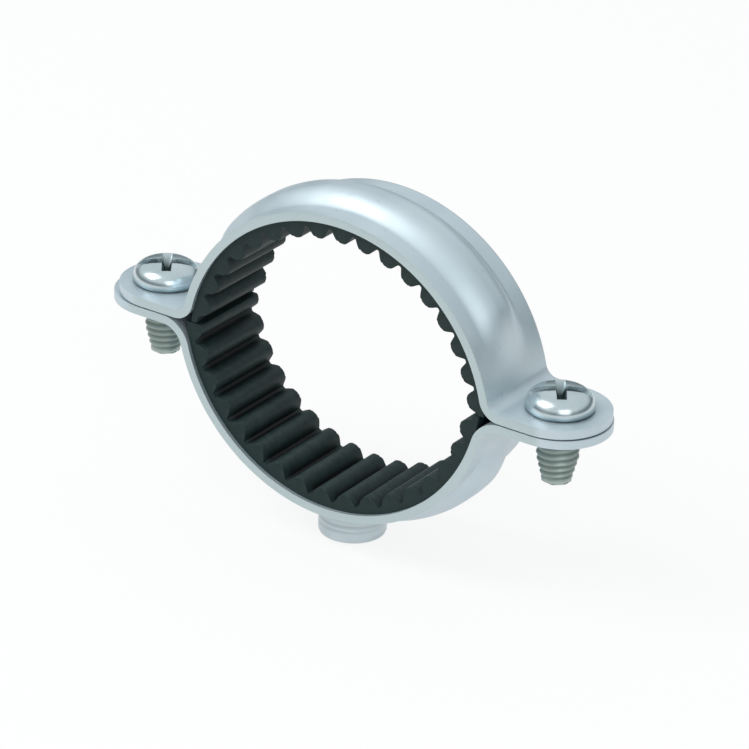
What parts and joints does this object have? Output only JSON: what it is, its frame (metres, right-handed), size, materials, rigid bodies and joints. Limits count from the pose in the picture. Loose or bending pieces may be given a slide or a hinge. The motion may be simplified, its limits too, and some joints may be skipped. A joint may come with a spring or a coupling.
{
  "type": "rubber lined pipe clamp",
  "caption": "Two-piece steel pipe clamp with ribbed rubber linings, two closing screws and a threaded boss for a hanging rod.",
  "frame": {"origin": "centre of the boss mouth, where the hanging rod screws in", "axes": "+Z from the boss towards the upper half, +X along the ears towards the right screw, +Y along the pipe"},
  "size_m": [0.082, 0.015, 0.0531],
  "materials": {
    "strap_steel": "zinc plated, soft sheen",
    "boss_steel": "zinc plated",
    "screw_steel": "bright zinc plated",
    "lining_rubber": "matte"
  },
  "bodies": {
    "lower_half": {"lower_strap": "strap_steel", "boss_nut": "boss_steel", "lower_lining": "lining_rubber"},
    "upper_half": {"upper_strap": "strap_steel", "upper_lining": "lining_rubber"},
    "left_screw": {"left_screw": "screw_steel"},
    "right_screw": {"right_screw": "screw_steel"}
  },
  "joints": [
    {"name": "upper_half_lift", "type": "slide", "parent": "lower_half", "child": "upper_half", "axis": [0, 0, 1], "range_m": [0, 0.007]},
    {"name": "left_screw_turn", "type": "hinge", "parent": "upper_half", "child": "left_screw", "pos_m": [-0.03348, 0, 0.028], "axis": [0, 0, 1], "range_deg": [0, 2520]},
    {"name": "right_screw_turn", "type": "hinge", "parent": "upper_half", "child": "right_screw", "pos_m": [0.03348, 0, 0.028], "axis": [0, 0, 1], "range_deg": [0, 2520]}
  ],
  "couplings": [
    {"joint": "left_screw_turn", "follows": "upper_half_lift", "rad_per_m": 6283.2},
    {"joint": "right_screw_turn", "follows": "upper_half_lift", "rad_per_m": 6283.2}
  ]
}
